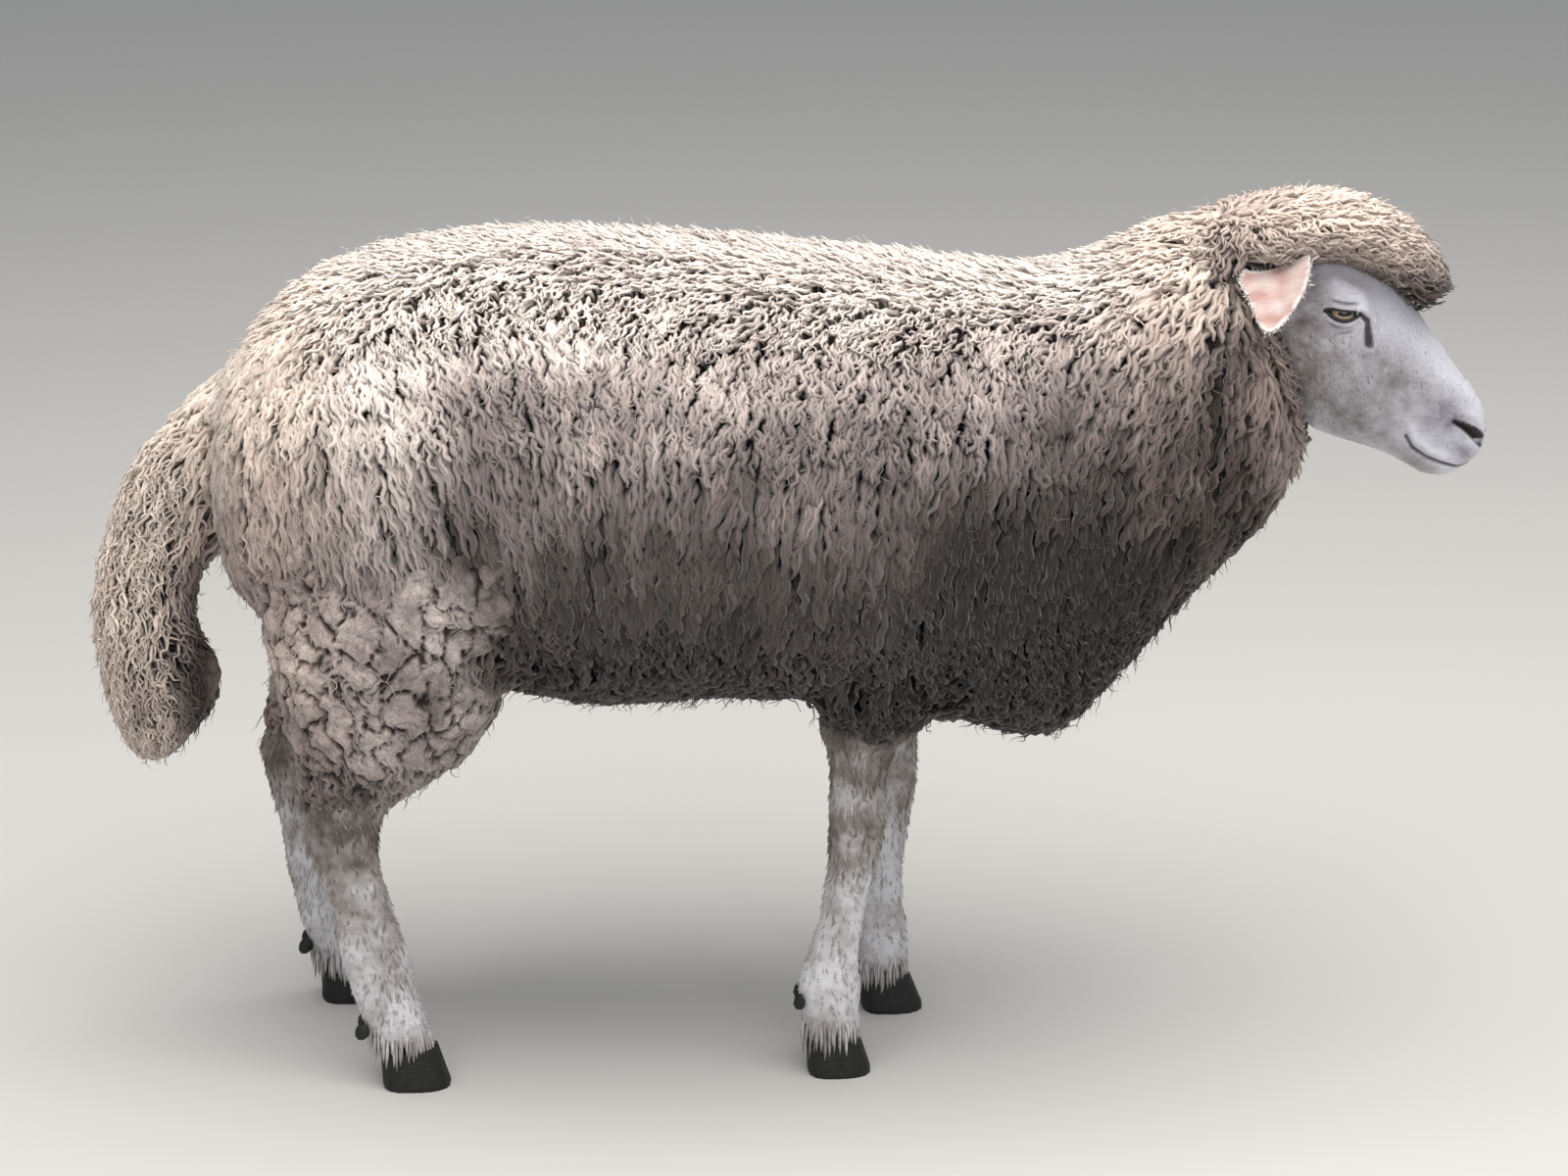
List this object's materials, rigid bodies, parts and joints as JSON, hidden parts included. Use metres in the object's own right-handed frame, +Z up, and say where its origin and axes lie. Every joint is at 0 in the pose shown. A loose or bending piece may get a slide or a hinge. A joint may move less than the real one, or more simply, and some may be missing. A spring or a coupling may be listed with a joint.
{
  "type": "sheep",
  "caption": "Life-size standing sheep, a white-faced ewe in half-length fleece with a woolled poll and a long undocked tail, as a still museum model that stands on its own feet.",
  "frame": {"origin": "on the floor, under the middle of the animal's length and width", "axes": "+X from the tail to the nose, +Y to the animal's left, +Z up; the hoof soles are at z = 0"},
  "size_m": [1.2057, 0.414, 0.7675],
  "materials": {
    "fleece": "crimped wool in wavy locks, cream above and greyish brown below",
    "face_hair": "short white hair over pinkish-grey skin",
    "leg_hair": "short white hair with grey-brown dirt",
    "ear_skin": "thinly haired pink skin with a white rim",
    "hoof_horn": "dark worn horn",
    "eye": "wet cornea over an amber iris with a level slit pupil"
  },
  "bodies": {
    "root": {"foreleg_right_upper": "fleece", "foreleg_right_lower": "leg_hair", "foreleg_right_hoof_outer": "hoof_horn", "foreleg_right_dewclaw_outer": "hoof_horn", "foreleg_right_hoof_inner": "hoof_horn", "foreleg_right_dewclaw_inner": "hoof_horn", "foreleg_left_upper": "fleece", "foreleg_left_lower": "leg_hair", "foreleg_left_hoof_outer": "hoof_horn", "foreleg_left_dewclaw_outer": "hoof_horn", "foreleg_left_hoof_inner": "hoof_horn", "foreleg_left_dewclaw_inner": "hoof_horn", "hindleg_right_upper": "fleece", "hindleg_right_lower": "leg_hair", "hindleg_right_hoof_outer": "hoof_horn", "hindleg_right_dewclaw_outer": "hoof_horn", "hindleg_right_hoof_inner": "hoof_horn", "hindleg_right_dewclaw_inner": "hoof_horn", "hindleg_left_upper": "fleece", "hindleg_left_lower": "leg_hair", "hindleg_left_hoof_outer": "hoof_horn", "hindleg_left_dewclaw_outer": "hoof_horn", "hindleg_left_hoof_inner": "hoof_horn", "hindleg_left_dewclaw_inner": "hoof_horn", "trunk": "fleece", "neck": "fleece", "tail": "fleece", "topknot": "fleece", "head": "face_hair", "lower_jaw": "face_hair", "ear_right": "ear_skin", "eye_right": "eye", "ear_left": "ear_skin", "eye_left": "eye"}
  },
  "joints": []
}
